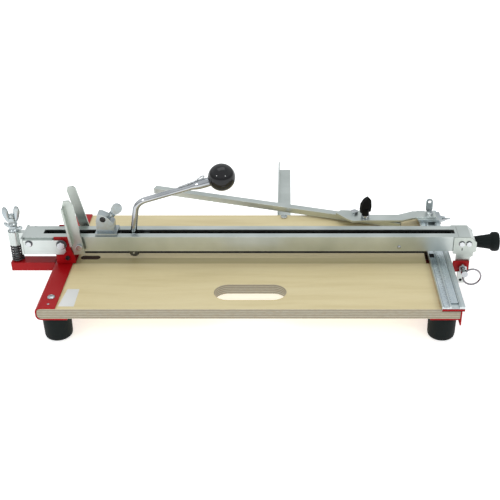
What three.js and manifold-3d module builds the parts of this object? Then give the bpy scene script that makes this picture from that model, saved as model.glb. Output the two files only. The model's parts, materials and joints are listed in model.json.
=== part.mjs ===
// A manual tile cutter: two plywood beds in red steel end channels, an aluminium guide rail that
// lifts on a sprung pivot, a scoring carriage with a bent ball lever, a breaker, a travel stop,
// a mitre fence on a ruled slide, a swing-out support arm and a ring-pull rail lock.
// Millimetres, +Z up. The origin is on the breaking ridge in the middle of the score line, level
// with the tile bed; +X runs along the rail to the lift knob and +Y to the rear bed.
import * as THREE from 'three';
import { mergeVertices } from 'three/addons/utils/BufferGeometryUtils.js';
import Module from 'manifold-3d';

const wasm = await Module();
wasm.setup();

// ---------------------------------------------------------------- driving dimensions
const GAP = 0.3;
const BED = { length: 587, depth: 278, thickness: 16, top: -1 };
const FLOOR = -60;
const STEEL = 2; // sheet of the end channels
const SCORE_GAP = 21.2; // front edge of the rear bed
const RAIL = { left: -335, right: 306, halfWidth: 17, bottom: 21, top: 45, wall: 3 };
const SLOT = { halfWidth: 6, left: -308, right: 302 };
const PIVOT = { x: -279, z: 35, radius: 4 };
const CARRIAGE = { x: -177, z: 33, halfLength: 25 };
const LEVER_RADIUS = 4.6;
const BALL = { x: -41, z: 134, radius: 20 };
const WHEEL = { z: 10.5, radius: 8, thickness: 3 };
const STOP_X = -214;
const ARM_INSIDE = 22.9; // from the middle of the rail to the breaker arms
const BREAKER = { x: -252, z: 33, height: 76, plate: 3 };
const TENSION = { x: -353, rod: 4, barrel: 9.3, top: 88 };
const RULER = { left: 265.5, width: 32, bottom: 1.6, height: 6.6, front: -147, back: 139 };
const FENCE = { x: 162, y: 116, swing: -0.3, length: 428, width: 13, height: 9 };
const TOOTH = 0.7;
const SLIDE_Y = 112;
const SUPPORT = { x: 48, y: 131, half: 11, wall: 2.4, reach: 352 };
const CHEEK_BOLT = { x: -326.5, z: 36.8 };
const LOCK = { x: 314, z: -1.5 };

// ---------------------------------------------------------------- materials
const finish = (color, roughness, metalness = 0) =>
  new THREE.MeshStandardMaterial({ color, roughness, metalness });
const PLYWOOD = finish(0xdcc596, 0.55);
const RED_PAINT = finish(0xa8141c, 0.35);
const ALUMINIUM = finish(0xc2c8c6, 0.4, 0.9);
const STEEL_FINISH = finish(0xd4d8da, 0.25, 1);
const ZINC = finish(0xb9bfbd, 0.35, 1);
const CHROME = finish(0xe2e5e8, 0.1, 1);
const RUBBER = finish(0x1c2322, 0.8);
const BLACK_PLASTIC = finish(0x0d0e10, 0.15);
const CARBIDE = finish(0x6d7275, 0.3, 1);

// ---------------------------------------------------------------- solids and placing
const cutter = new THREE.Group();

// A closed geometry as a manifold solid, for joining and cutting.
function solid(geometry) {
  const plain = geometry.index ? geometry.clone() : geometry;
  plain.deleteAttribute('normal');
  plain.deleteAttribute('uv');
  const merged = mergeVertices(plain, 1e-4);
  return new wasm.Manifold(
    new wasm.Mesh({
      numProp: 3,
      vertProperties: merged.attributes.position.array,
      triVerts: new Uint32Array(merged.index.array),
    }),
  );
}

function geometryOf(body) {
  const mesh = body.getMesh();
  const geometry = new THREE.BufferGeometry();
  geometry.setAttribute('position', new THREE.BufferAttribute(new Float32Array(mesh.vertProperties), 3));
  geometry.setIndex(new THREE.BufferAttribute(new Uint32Array(mesh.triVerts), 1));
  geometry.computeVertexNormals();
  return geometry;
}

const joined = (first, ...others) => others.reduce((sum, other) => sum.add(other), first);
const cut = (first, ...others) => others.reduce((rest, other) => rest.subtract(other), first);

function place(name, body, material, parent = cutter) {
  const mesh = new THREE.Mesh(geometryOf(body), material);
  mesh.name = name;
  parent.add(mesh);
  return mesh;
}

// A block between two corners.
function block([x0, x1], [y0, y1], [z0, z1]) {
  const box = new THREE.BoxGeometry(x1 - x0, y1 - y0, z1 - z0);
  return solid(box.translate((x0 + x1) / 2, (y0 + y1) / 2, (z0 + z1) / 2));
}

// A round bar along an axis, from start to end on that axis, with its centre line at the other two
// coordinates given in x, y, z order.
function bar(axis, radius, [start, end], [a, b], segments = 24) {
  const cylinder = new THREE.CylinderGeometry(radius, radius, end - start, segments);
  const middle = (start + end) / 2;
  if (axis === 'x') return solid(cylinder.rotateZ(Math.PI / 2).translate(middle, a, b));
  if (axis === 'y') return solid(cylinder.translate(a, middle, b));
  return solid(cylinder.rotateX(Math.PI / 2).translate(a, b, middle));
}

function outline(points) {
  return new THREE.Shape(points.map(([a, b]) => new THREE.Vector2(a, b)));
}

// A closed outline of [a, b, radius] corners, each rounded over to its own radius.
function eased(corners) {
  const shape = new THREE.Shape();
  corners.forEach(([a, b, radius = 0], i) => {
    const corner = new THREE.Vector2(a, b);
    const towards = ([c, d]) => new THREE.Vector2(c, d).sub(corner).setLength(radius).add(corner);
    const before = towards(corners.at(i - 1));
    const after = towards(corners[(i + 1) % corners.length]);
    if (i === 0) shape.moveTo(before.x, before.y);
    else shape.lineTo(before.x, before.y);
    if (radius > 0) shape.quadraticCurveTo(a, b, after.x, after.y);
  });
  return shape;
}

// A plan outline (x, y) raised from z0 to z1.
function raised(shape, z0, z1, curveSegments = 8) {
  const body = new THREE.ExtrudeGeometry(shape, { depth: z1 - z0, bevelEnabled: false, curveSegments });
  return solid(body.translate(0, 0, z0));
}

// A side outline (x, z) carried from y0 to y1.
function sideways(shape, y0, y1, curveSegments = 8) {
  const body = new THREE.ExtrudeGeometry(shape, { depth: y1 - y0, bevelEnabled: false, curveSegments });
  return solid(body.rotateX(Math.PI / 2).translate(0, y1, 0));
}

// An end outline (y, z) carried from x0 to x1.
function lengthways(shape, x0, x1) {
  const body = new THREE.ExtrudeGeometry(shape, { depth: x1 - x0, bevelEnabled: false });
  const turn = new THREE.Matrix4().set(0, 0, 1, x0, 1, 0, 0, 0, 0, 1, 0, 0, 0, 0, 0, 1);
  return solid(body.applyMatrix4(turn));
}

// A slot with round ends, centred on (x, y).
function roundEnded(x, y, length, width) {
  const r = width / 2;
  const half = length / 2 - r;
  const shape = new THREE.Shape();
  shape.absarc(x + half, y, r, -Math.PI / 2, Math.PI / 2);
  shape.absarc(x - half, y, r, Math.PI / 2, Math.PI * 1.5);
  return shape;
}

// A profile of [radius, height] points, from the axis to the axis, turned about Z.
function turned(points, segments = 32) {
  return solid(new THREE.LatheGeometry(points.map(([r, z]) => new THREE.Vector2(r, z)),
      segments).rotateX(Math.PI / 2));
}

// ---------------------------------------------------------------- base
const halfLength = BED.length / 2;
const halfDepth = BED.depth / 2;
const bedUnder = BED.top - BED.thickness;
const channelTop = BED.top + GAP + STEEL;
const channelUnder = bedUnder - GAP - STEEL;
const FOOT = { x: 273.5, y: 114, radius: 20 };
const HAND = { x: 0.8, y: -95, length: 103, width: 40 };
const RIDGE = { left: -266, right: 261.9, front: -15, back: 14.8 };
const END_BEND = 6.5; // inner bend of the end channels, and the rounding of the boards in it

function beds() {
  // The boards' ends are rounded over to sit in the bends of the end channels.
  const end = outlineOfBoard();
  const hand = raised(roundEnded(HAND.x, HAND.y, HAND.length, HAND.width), -40, 10, 12);
  const supportBore = bar('z', 3.2, [-60, 20], [SUPPORT.x, SUPPORT.y], 20);
  place('front_board', cut(sideways(end, -halfDepth, RIDGE.front - 0.4, 6), hand), PLYWOOD);
  place('rear_board', cut(sideways(end, SCORE_GAP, halfDepth, 6), supportBore), PLYWOOD);
  const ridge = outline([
    [RIDGE.front, bedUnder],
    [RIDGE.back, bedUnder],
    [RIDGE.back, 0],
    [-1.5, 0],
    [RIDGE.front, BED.top - 0.6],
  ]);
  const wheelPocket = raised(roundEnded(-244, 0.4, 30, 10.5), -9, 10, 8);
  place('breaking_ridge', cut(lengthways(ridge, RIDGE.left, RIDGE.right), wheelPocket), PLYWOOD);
  const seal = block([RIDGE.left, RIDGE.right], [RIDGE.back + GAP, SCORE_GAP - GAP],
      [bedUnder + 1, BED.top - 0.2]);
  place('joint_seal', seal, RUBBER);
}

// The end view (x, z) of both boards.
function outlineOfBoard() {
  return eased([
    [-halfLength, bedUnder, END_BEND],
    [halfLength, bedUnder, 1],
    [halfLength, BED.top, END_BEND],
    [-halfLength, BED.top, END_BEND],
  ]);
}

// The left channel is one bent sheet that wraps the ends of the beds.
function leftChannel() {
  const web = -halfLength - GAP;
  const outerBend = END_BEND + STEEL;
  const profile = eased([
    [web - STEEL, channelTop, outerBend],
    [-267, channelTop, 0.4],
    [-267, channelTop - STEEL],
    [web, channelTop - STEEL, END_BEND],
    [web, channelUnder + STEEL, END_BEND],
    [-252.3, channelUnder + STEEL],
    [-252.3, channelUnder, 0.4],
    [web - STEEL, channelUnder, outerBend],
  ]);
  place('end_channel_left', sideways(profile, -halfDepth, halfDepth, 6), RED_PAINT);
}

// The right channel's web runs on below the beds as a lip.
function rightChannel() {
  const web = halfLength + GAP;
  const lip = 9;
  const bent = eased([
    [266.3, channelTop - STEEL],
    [266.3, channelTop, 0.4],
    [web + STEEL, channelTop, END_BEND + STEEL],
    [web + STEEL, channelUnder - lip, 0.4],
    [web, channelUnder - lip, 0.4],
    [web, channelTop - STEEL, END_BEND],
  ]);
  const shelf = block([252.3, web + STEEL / 2], [-halfDepth, halfDepth],
      [channelUnder, channelUnder + STEEL]);
  place('end_channel_right', joined(sideways(bent, -halfDepth, halfDepth, 6), shelf), RED_PAINT);
}

function feet() {
  const height = channelUnder - GAP - FLOOR;
  const r = FOOT.radius;
  const profile = [[0, 7], [6.5, 7], [6.5, 0], [r - 5, 0], [r - 1.6, 1.6], [r - 0.6, 5], [r, height],
      [0, height]];
  for (const [row, sy] of [['front', -1], ['rear', 1]])
    for (const [end, sx] of [['left', -1], ['right', 1]]) {
      const foot = turned(profile, 24);
      place(`foot_${row}_${end}`, foot.translate([sx * FOOT.x, sy * FOOT.y, FLOOR]), RUBBER);
    }
}

// ---------------------------------------------------------------- rail pivot and tension spring
function railPivot() {
  const [yokeLeft, yokeRight, yokeHalf, yokeFoot] = [-290, -262, 19.6, 1.6];
  const yokeSide = outline([
    [yokeLeft, yokeFoot],
    [yokeRight, yokeFoot],
    [yokeRight, 12],
    [yokeRight - 4, 24],
    [yokeRight - 6, 46],
    [yokeLeft, 46],
  ]);
  const bore = bar('y', PIVOT.radius + 0.1, [-40, 40], [PIVOT.x, PIVOT.z]);
  const yoke = joined(
    block([yokeLeft, yokeRight], [-yokeHalf, yokeHalf], [yokeFoot, yokeFoot + STEEL]),
    sideways(yokeSide, -yokeHalf, STEEL - yokeHalf),
    sideways(yokeSide, yokeHalf - STEEL, yokeHalf),
  );
  place('pivot_yoke', cut(yoke, bore), RED_PAINT);
  const head = (y0, y1) => bar('y', 6.2, [y0, y1], [PIVOT.x, PIVOT.z], 6);
  place('rail_pivot_bolt', joined(
    bar('y', PIVOT.radius, [-24, 25], [PIVOT.x, PIVOT.z]), head(-27.4, -23), head(23, 27.4)), STEEL_FINISH);
  // A square tube carries the tension rod out beyond the rail.
  const tube = block([-362.5, -296.1], [-10, 10], [-17, -3]);
  const rodHole = bar('z', TENSION.rod + 0.2, [-30, 10], [TENSION.x, 0]);
  place('tension_arm', cut(tube, block([-372, -299], [-8, 8], [-15, -5]), rodHole), RED_PAINT);
}

function wingNut(hubRadius, hubHeight, wing, bore) {
  const hub = turned([[bore, 0], [hubRadius, 0], [hubRadius * 0.82, hubHeight], [bore, hubHeight],
      [bore, 0]], 20);
  const { reach, rise, thick, root } = wing;
  const leaf = new THREE.Shape();
  leaf.moveTo(root, 0.5);
  leaf.lineTo(reach - 6, hubHeight * 0.5);
  leaf.absarc(reach - 5, rise - 5, 5, -0.9, Math.PI * 0.8);
  leaf.lineTo(root, hubHeight - 0.5);
  const right = sideways(leaf, -thick / 2, thick / 2, 5);
  const left = right.rotate([0, 0, 180]);
  return joined(hub, right, left);
}

function tensionSet() {
  const rod = bar('z', TENSION.rod, [-14, TENSION.top - 14], [TENSION.x, 0]);
  place('tension_rod', joined(rod, bar('z', 6.6, [-14.7, -5.3], [TENSION.x, 0], 6)), ZINC);
  // A black compression spring between the arm and the rail's barrel.
  const spring = { low: -1.1, high: 23.1, turns: 5.5, radius: 7.9, wire: 1.45, steps: 10 };
  const points = [];
  for (let i = 0; i <= spring.turns * spring.steps; i += 1) {
    const angle = (i / spring.steps) * Math.PI * 2;
    const z = spring.low + ((spring.high - spring.low) * i) / (spring.turns * spring.steps);
    points.push(new THREE.Vector3(Math.cos(angle) * spring.radius, Math.sin(angle) * spring.radius, z));
  }
  const section = new THREE.Shape();
  section.absarc(0, 0, spring.wire, 0, Math.PI * 2);
  const coil = new THREE.ExtrudeGeometry(section, {
    extrudePath: new THREE.CatmullRomCurve3(points),
    steps: points.length - 1,
    curveSegments: 3,
    bevelEnabled: false,
  });
  place('tension_spring', solid(coil).translate([TENSION.x, 0, 0]), RUBBER);
  const lower = wingNut(8, 8, { reach: 17, rise: 9.6, thick: 3.4, root: 4.6 }, TENSION.rod + 0.2);
  place('tension_wing_nut', lower.rotate([0, 0, -24]).translate([TENSION.x, 0, 47.6]), ZINC);
  const upper = wingNut(7, 11, { reach: 15, rise: 30, thick: 3.2, root: 4.6 }, TENSION.rod + 0.2);
  place('lock_wing_nut', upper.rotate([0, 0, 12]).translate([TENSION.x, 0, 57.6]), ZINC);
}

// ---------------------------------------------------------------- rail
function rail() {
  const w = RAIL.halfWidth;
  const skin = RAIL.wall;
  const body = cut(
    block([RAIL.left, RAIL.right], [-w, w], [RAIL.bottom, RAIL.top]),
    block([RAIL.left - 1, RAIL.right + 1], [-w + skin, w - skin], [RAIL.bottom + skin, RAIL.top - skin]),
    block([SLOT.left, SLOT.right], [-SLOT.halfWidth, SLOT.halfWidth], [RAIL.top - 6, RAIL.top + 6]),
    block([-262, 262], [-SLOT.halfWidth, SLOT.halfWidth], [RAIL.bottom - 6, RAIL.bottom + 6]),
    bar('y', PIVOT.radius + 0.1, [-40, 40], [PIVOT.x, PIVOT.z]),
    bar('y', 3.4, [-40, 40], [BREAKER.x, BREAKER.z]),
    bar('y', 2.7, [-40, 40], [CHEEK_BOLT.x, CHEEK_BOLT.z]),
  );
  place('rail', body, ALUMINIUM);
  // Side cheeks carry the pivot and the tension barrel.
  const cheek = outline([[-335, 18.5], [-278, 18.5], [-274, 22.5], [-274, 39], [-277, 42], [-335, 42]]);
  for (const [name, side] of [['cheek_front', -1], ['cheek_rear', 1]]) {
    const plate = side < 0 ? sideways(cheek, -22.4, -20) : sideways(cheek, 20, 22.4);
    const spacer = side < 0 ? [-20.4, -17.3] : [17.3, 20.4];
    const bores = [
      bar('y', PIVOT.radius + 0.1, [-40, 40], [PIVOT.x, PIVOT.z]),
      bar('y', 2.7, [-40, 40], [CHEEK_BOLT.x, CHEEK_BOLT.z]),
    ];
    place(name, cut(joined(plate, block([-335, -292.6], spacer, [21, 42])), ...bores), ALUMINIUM);
  }
  place('cheek_bolt', joined(
    bar('y', 2.4, [-23.5, 23.5], [CHEEK_BOLT.x, CHEEK_BOLT.z], 16),
    bar('y', 4.4, [-25.6, -22.7], [CHEEK_BOLT.x, CHEEK_BOLT.z], 6),
    bar('y', 4.4, [22.7, 25.6], [CHEEK_BOLT.x, CHEEK_BOLT.z], 6)), STEEL_FINISH);
  const barrel = cut(
    joined(
      block([-338.4, -335.3], [-22.4, 22.4], [18.5, 44.6]),
      block([-348, -338], [-5, 5], [27, 45]),
      bar('z', TENSION.barrel, [25, 47.2], [TENSION.x, 0])),
    bar('z', 6.4, [0, 60], [TENSION.x, 0]));
  place('tension_barrel', barrel, ALUMINIUM);
}

function railEnd() {
  const w = RAIL.halfWidth;
  const cap = outline([[306.3, 21], [324, 21], [331, 27], [331, 39], [324, 45], [306.3, 45]]);
  const stud = bar('x', 4.2, [310, 360], [0, 28]);
  const bolts = (radius, y0, y1) => [311, 321.5].map((x) => bar('y', radius, [y0, y1], [x, 35], 16));
  place('rail_end_cap', cut(sideways(cap, -w, w), stud, ...bolts(2.7, -40, 40)), ALUMINIUM);
  const plate = outline([[299, 45], [324, 45], [333, 37], [333, 22], [329, 20], [329, 14], [325, 12],
      [325, -9], [304, -9], [304, 18], [299, 18]]);
  const pinHole = bar('y', 3.6, [-40, 0], [LOCK.x, LOCK.z], 20);
  place('end_plate_front', cut(sideways(plate, -19.8, -17.3), pinHole, ...bolts(2.7, -40, 40)), ALUMINIUM);
  const rear = outline([[299, 45], [324, 45], [333, 37], [333, 22], [329, 12], [304, 12], [304, 18],
      [299, 18]]);
  place('end_plate_rear', cut(sideways(rear, 17.3, 19.8), ...bolts(2.7, -40, 40)), ALUMINIUM);
  for (const [name, x] of [['end_bolt_inner', 311], ['end_bolt_outer', 321.5]])
    place(name, joined(
      bar('y', 2.4, [-21, 21], [x, 35], 16),
      bar('y', 4.3, [-22.4, -20.1], [x, 35], 6),
      bar('y', 4.3, [20.1, 22.4], [x, 35], 6)), STEEL_FINISH);
  const knob = turned([[0, 30], [4.4, 30], [4.4, 0], [7.6, 0], [8.2, 1], [11.2, 25], [14, 27], [14.6, 29],
      [14.6, 34], [13, 36.6], [5, 37.4], [0, 37.4]], 32);
  place('lift_knob', knob.rotate([0, 90, 0]).translate([332.5, 0, 28]), RUBBER);
  place('knob_stud', bar('x', 3.9, [312, 362], [0, 28]), STEEL_FINISH);
}

// ---------------------------------------------------------------- scoring carriage
function carriage() {
  const { x, z, halfLength: half } = CARRIAGE;
  const pin = (radius) => bar('y', radius, [-30, 30], [x, z]);
  const body = cut(
    block([x - half, x + half], [-13.4, 13.4], [RAIL.bottom + RAIL.wall + 0.5, RAIL.top - RAIL.wall - 0.5]),
    block([x - 17, x + 17], [-5.6, 5.6], [0, 60]), pin(3.1));
  place('carriage_block', body, BLACK_PLASTIC);
  place('lever_pin', bar('y', 3, [-13, 13], [x, z]), STEEL_FINISH);
  // Bent lever: up through the slot, over a quarter bend and along to the ball.
  const shank = new THREE.CurvePath();
  const foot = new THREE.Vector3(x, 0, z);
  const bendIn = new THREE.Vector3(x + 8, 0, 82);
  const bendTop = new THREE.Vector3(x + 10.5, 0, 92);
  const bendOut = new THREE.Vector3(x + 22, 0, 97);
  const tip = new THREE.Vector3(BALL.x - 8, 0, BALL.z - 4);
  shank.add(new THREE.LineCurve3(foot, bendIn));
  shank.add(new THREE.QuadraticBezierCurve3(bendIn, bendTop, bendOut));
  shank.add(new THREE.LineCurve3(bendOut, tip));
  const section = new THREE.Shape();
  section.absarc(0, 0, LEVER_RADIUS, 0, Math.PI * 2);
  const rod = new THREE.ExtrudeGeometry(section,
      { extrudePath: shank, steps: 28, curveSegments: 6, bevelEnabled: false });
  const hub = bar('y', 7.4, [-4.8, 4.8], [x, z]);
  const tang = block([x - 5, x + 5], [-4.8, 4.8], [19.5, z]);
  place('cutting_lever', cut(joined(solid(rod), hub, tang), pin(3.2),
      bar('x', 1.7, [x - 9, x + 9], [0, 23.4], 12)), CHROME);
  const ball = solid(new THREE.SphereGeometry(BALL.radius, 24, 16)).translate([BALL.x, 0, BALL.z]);
  place('ball_knob', cut(ball, leverBore(bendOut, tip)), BLACK_PLASTIC);
  // Fork and hardened wheel under the rail.
  const fork = cut(
    block([x - 5, x + 5], [-4.8, 4.8], [WHEEL.z - 4, 19.2]),
    block([x - 12, x + 12], [-WHEEL.thickness / 2 - 0.4, WHEEL.thickness / 2 + 0.4],
        [0, WHEEL.z + WHEEL.radius + 0.5]),
    bar('y', 1.9, [-9, 9], [x, WHEEL.z], 16));
  place('wheel_fork', fork, STEEL_FINISH);
  const r = WHEEL.radius;
  const t = WHEEL.thickness / 2;
  const wheel = turned([[2, -t], [r - 2.2, -t], [r, 0], [r - 2.2, t], [2, t], [2, -t]], 28);
  place('scoring_wheel', wheel.rotate([90, 0, 0]).translate([x, 0, WHEEL.z]), CARBIDE);
  place('wheel_axle', bar('y', 1.7, [-4.6, 4.6], [x, WHEEL.z], 16), STEEL_FINISH);
}

// The lever's end, 0.3 mm larger all round, as the bore of the ball.
function leverBore(from, to) {
  const direction = to.clone().sub(from).normalize();
  const section = new THREE.Shape();
  section.absarc(0, 0, LEVER_RADIUS + GAP, 0, Math.PI * 2);
  const end = to.clone().addScaledVector(direction, GAP);
  const bore = new THREE.ExtrudeGeometry(section,
      { extrudePath: new THREE.LineCurve3(from, end), steps: 1, curveSegments: 6, bevelEnabled: false });
  return solid(bore);
}

// ---------------------------------------------------------------- travel stop
function travelStop() {
  const x = STOP_X;
  const base = block([x - 16, x + 16], [-14, 14], [45.4, 48.4]);
  const neck = block([x - 9, x + 9], [-5.5, 5.5], [40, 46]);
  const nut = block([x - 9, x + 9], [-12.5, 12.5], [34, 41.6]);
  const body = outline([[x - 14, 48], [x + 12, 48], [x + 12, 62], [x + 4, 72], [x - 6, 77], [x - 11, 77],
      [x - 14, 66]]);
  const hole = bar('y', 4.5, [-20, 20], [x - 3.5, 69], 24);
  const screwBore = bar('z', 2.6, [-30, 14], [0, 0], 16).rotate([0, 40, 0]).translate([x + 6, 0, 70]);
  place('travel_stop', cut(joined(base, neck, nut, sideways(body, -8, 8)), hole, screwBore), ZINC);
  const screw = joined(
    bar('z', 2.3, [-8, 8], [0, 0], 16),
    bar('z', 5, [4.2, 7], [0, 0], 20),
    sideways(roundEndedFlag(), -1.8, 1.8, 6));
  place('stop_thumb_screw', screw.rotate([0, 40, 0]).translate([x + 6, 0, 70]), ZINC);
}

// The flat thumb piece of a screw: a short stem that widens to a round leaf, in x and z.
function roundEndedFlag() {
  const flag = new THREE.Shape();
  flag.moveTo(-3, 6);
  flag.lineTo(3, 6);
  flag.lineTo(7, 13);
  flag.absarc(0, 18, 7.6, -0.4, Math.PI + 0.4);
  flag.lineTo(-7, 13);
  return flag;
}

// ---------------------------------------------------------------- breaker
function breaker() {
  const { x, z, height, plate } = BREAKER;
  // Each arm is an angle that stands on the pin at its own lean; the rear one is slimmer.
  const arms = [
    {
      name: 'breaker_arm_front',
      side: -1,
      lean: 0.11,
      flange: [-10.5, -7.5],
      edge: [[-10.5, -12], [5.5, -12], [5.5, height - 8], [1, height], [-7, height], [-10.5, height - 9]],
    },
    {
      name: 'breaker_arm_rear',
      side: 1,
      lean: 0.215,
      flange: [-6, -3],
      edge: [[-6, -12], [8, -12], [8, height - 4], [5, height], [-3, height], [-6, height - 5]],
    },
  ];
  for (const { name, side, lean, flange, edge } of arms) {
    const across = (from, to) => (side > 0 ? [from, to] : [-to, -from]);
    const web = sideways(outline(edge), ...across(ARM_INSIDE, ARM_INSIDE + plate));
    const leg = block(flange, across(ARM_INSIDE, ARM_INSIDE + 12), [6, height - 9]);
    const arm = cut(joined(web, leg), bar('y', 3.1, [-60, 60], [0, 0], 20));
    place(name, arm.rotate([0, (-lean * 180) / Math.PI, 0]).translate([x, 0, z]), ALUMINIUM);
  }
  place('breaker_pin', joined(
    bar('y', 2.9, [-27.4, 27.4], [x, z], 20),
    bar('y', 5, [-29.6, -26.2], [x, z], 20),
    bar('y', 5, [26.2, 29.6], [x, z], 20)), STEEL_FINISH);
}

// ---------------------------------------------------------------- ruler, slide and mitre fence
function ruler() {
  const { left, width, bottom, height, front, back } = RULER;
  const right = left + width;
  const top = bottom + height;
  const groove = (x0, x1, depth) => block([x0, x1], [front - 1, back + 1], [top - depth, top + 1]);
  const body = cut(
    block([left, right], [front, back], [bottom, top]),
    groove(left + 2, left + 10.5, 0.9), groove(left + 13, left + 24, 3), groove(left + 25.2, left + 26, 1));
  place('ruler', body, ALUMINIUM);
  place('ruler_scale', block([left + 2.3, left + 10.2], [front + 1, back - 1], [top - 0.6, top - 0.05]),
      STEEL_FINISH);
  place('ruler_slide_strip', block([left + 13.3, left + 23.7], [front + 12, 58], [top - 2.7, top - 1]),
      STEEL_FINISH);
}

function fenceSlide() {
  const top = RULER.bottom + RULER.height;
  const left = RULER.left;
  const right = left + RULER.width;
  const y = SLIDE_Y;
  const saddle = joined(
    block([left - 3, right + 3], [y - 14, y + 14], [top + GAP, top + 4]),
    block([right + GAP, right + 3], [y - 14, y + 14], [4, top + 4]));
  place('fence_slide', cut(saddle, bar('x', 2.7, [right - 2, right + 9], [y, 6.6], 16),
      bar('z', 2.7, [0, 30], [left + 18, y], 16)), ZINC);
  const arm = outline([[150, y - 18], [158, y - 24], [176, y - 22], [236, y - 22], [262, y - 10],
      [292, y - 10], [292, y + 10], [256, y + 10], [232, y - 2], [186, y - 2], [176, y + 12], [140,
      y + 14], [132, y + 4]]);
  const underside = top + 4 + GAP;
  const bores = [bar('z', 3.2, [0, 40], [FENCE.x, FENCE.y], 20), bar('z', 3.2, [0, 40], [178, 101], 20),
      bar('z', 2.7, [0, 40], [left + 18, y], 16)];
  place('fence_arm', cut(raised(arm, underside, underside + 3), ...bores), ALUMINIUM);
  const armTop = underside + 3;
  // One bolt holds the arm to the slide; the other is the pivot of the fence.
  const hexBolt = (radius, low, at, head) =>
    joined(bar('z', radius, [low, armTop + 1], at, 20), bar('z', head, [armTop + GAP, armTop + 4], at, 6));
  place('arm_bolt', hexBolt(2.4, top + 0.6, [left + 18, y], 5.4), STEEL_FINISH);
  place('fence_pivot_bolt', hexBolt(2.9, 0.2, [FENCE.x, FENCE.y], 6), STEEL_FINISH);
  // An upright lock tab with an eye stands on the arm, behind its bolt.
  const eye = roundEnded(0, 0, 23, 11);
  const tab = cut(raised(eye, -1.2, 1.2, 8), bar('z', 2.6, [-9, 9], [6.2, 0], 16));
  place('slide_lock_lever', tab.rotate([0, -90, 90]).translate([left + 17, y + 8, armTop + GAP + 11.5]),
      ZINC);
  const nut = wingNut(5.6, 7, { reach: 13, rise: 14, thick: 2.6, root: 3.2 }, 2.6);
  place('slide_wing_nut', nut.rotate([0, 0, 60]).rotate([0, 90, 0]).translate([right + 3.4, y, 6.6]), ZINC);
  place('slide_screw', bar('x', 2.3, [right + 0.5, right + 11.4], [y, 6.6], 16), STEEL_FINISH);
}

function mitreFence() {
  const group = new THREE.Group();
  group.position.set(FENCE.x, FENCE.y, 0);
  group.rotation.z = FENCE.swing;
  cutter.add(group);
  // A toothed front edge, as shallow saw teeth along the whole fence, which clears the bolt
  // head on the rear board.
  const low = 2;
  const left = -352;
  const right = left + FENCE.length;
  const half = FENCE.width / 2;
  const teeth = 48;
  const pitch = FENCE.length / teeth;
  const points = [[right, half], [left, half], [left, -half + TOOTH]];
  for (let i = 0; i < teeth; i += 1) {
    points.push([left + pitch * (i + 0.5), -half]);
    points.push([left + pitch * (i + 1), -half + TOOTH]);
  }
  const body = cut(raised(outline(points), low, low + FENCE.height), bar('z', 3.2, [-9, 20], [0, 0], 20));
  place('mitre_fence', body, ALUMINIUM, group);
  const armTop = RULER.bottom + RULER.height + 4 + GAP + 3;
  // Black star-wing clamp screw that pins the fence angle.
  const kx = 178;
  const ky = 101;
  const leaf = outline([[-8.4, 4], [8.4, 4], [9.6, 13], [8.6, 24], [4, 30], [-3.4, 27], [-8.6, 20],
      [-9.6, 11]]);
  const wing = joined(sideways(leaf, -3, 3), bar('z', 5.8, [0, 9], [0, 0], 20));
  place('fence_clamp_knob', wing.rotate([0, 0, 28]).translate([kx, ky, armTop + 5.4]), BLACK_PLASTIC);
  place('clamp_collar', joined(bar('z', 6.8, [armTop + GAP, armTop + 5], [kx, ky], 20),
      bar('z', 2.8, [armTop - 3, armTop + 5], [kx, ky], 16)), CHROME);
}

// ---------------------------------------------------------------- swing-out support arm
// An angle that pivots under the rear bed; its upright leg stays behind the bed, level with it.
function supportArm() {
  const { x, y, half, wall, reach } = SUPPORT;
  const under = bedUnder - GAP;
  const flat = block([x - half, x + half], [y - half, reach], [under - wall, under]);
  const upright = block([x - half, x - half + wall], [halfDepth + 3, reach], [under - wall, BED.top - 0.4]);
  const bore = bar('z', 3.2, [-60, 0], [x, y], 20);
  place('support_arm', cut(joined(flat, upright), bore), ALUMINIUM);
  place('support_pivot_bolt', joined(
    bar('z', 2.9, [under - wall - 2, BED.top + 1], [x, y], 20),
    bar('z', 5.4, [BED.top + GAP, BED.top + 2.6], [x, y], 20),
    bar('z', 5.8, [under - wall - 4, under - wall - GAP], [x, y], 6)), STEEL_FINISH);
}

// ---------------------------------------------------------------- rail lock
function railLock() {
  const web = halfLength + GAP + STEEL + GAP;
  const lugPlate = outline([[web, -11], [324, -11], [324, 7], [300, 7], [299.5, -1], [web, -1]]);
  const pinHole = bar('y', 3.2, [-60, 0], [LOCK.x, LOCK.z], 20);
  place('lock_lug', cut(joined(sideways(lugPlate, -23.4, -20.4),
      block([web, web + 3], [-21, 4], [-11, -1])), pinHole), RED_PAINT);
  place('lock_bushing', cut(bar('y', 6.4, [-31, -23.7], [LOCK.x, LOCK.z], 6), pinHole), STEEL_FINISH);
  const ringTilt = 27;
  const ring = { radius: 13, wire: 1.2, y: -43.5 };
  const eye = bar('z', 2.4, [-12, 12], [0, 0],
      16).rotate([0, ringTilt, 0]).translate([LOCK.x, ring.y, LOCK.z]);
  const pin = joined(bar('y', 2.9, [-41, -20.6], [LOCK.x, LOCK.z], 20),
      bar('y', 5, [-47, -40], [LOCK.x, LOCK.z], 16));
  place('lock_pin', cut(pin, eye), STEEL_FINISH);
  const loop = solid(new THREE.TorusGeometry(ring.radius, ring.wire, 6, 30).rotateX(Math.PI / 2));
  place('pull_ring', loop.translate([ring.radius, 0, 0]).rotate([0, ringTilt, 0]).translate([LOCK.x,
      ring.y, LOCK.z]), CHROME);
}

beds();
leftChannel();
rightChannel();
feet();
railPivot();
tensionSet();
rail();
railEnd();
carriage();
travelStop();
breaker();
ruler();
fenceSlide();
mitreFence();
supportArm();
railLock();

export default cutter;
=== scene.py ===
"""Looks for the tile cutter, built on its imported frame: metres, +Z up, +X along the guide rail.

Shapes are grids and profiles worked out with numpy in millimetres, and piece() makes them metres.
Every metal, paint, wood and rubber finish is a node material on the piece's own Object
coordinates.
"""

import json
import math

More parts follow.
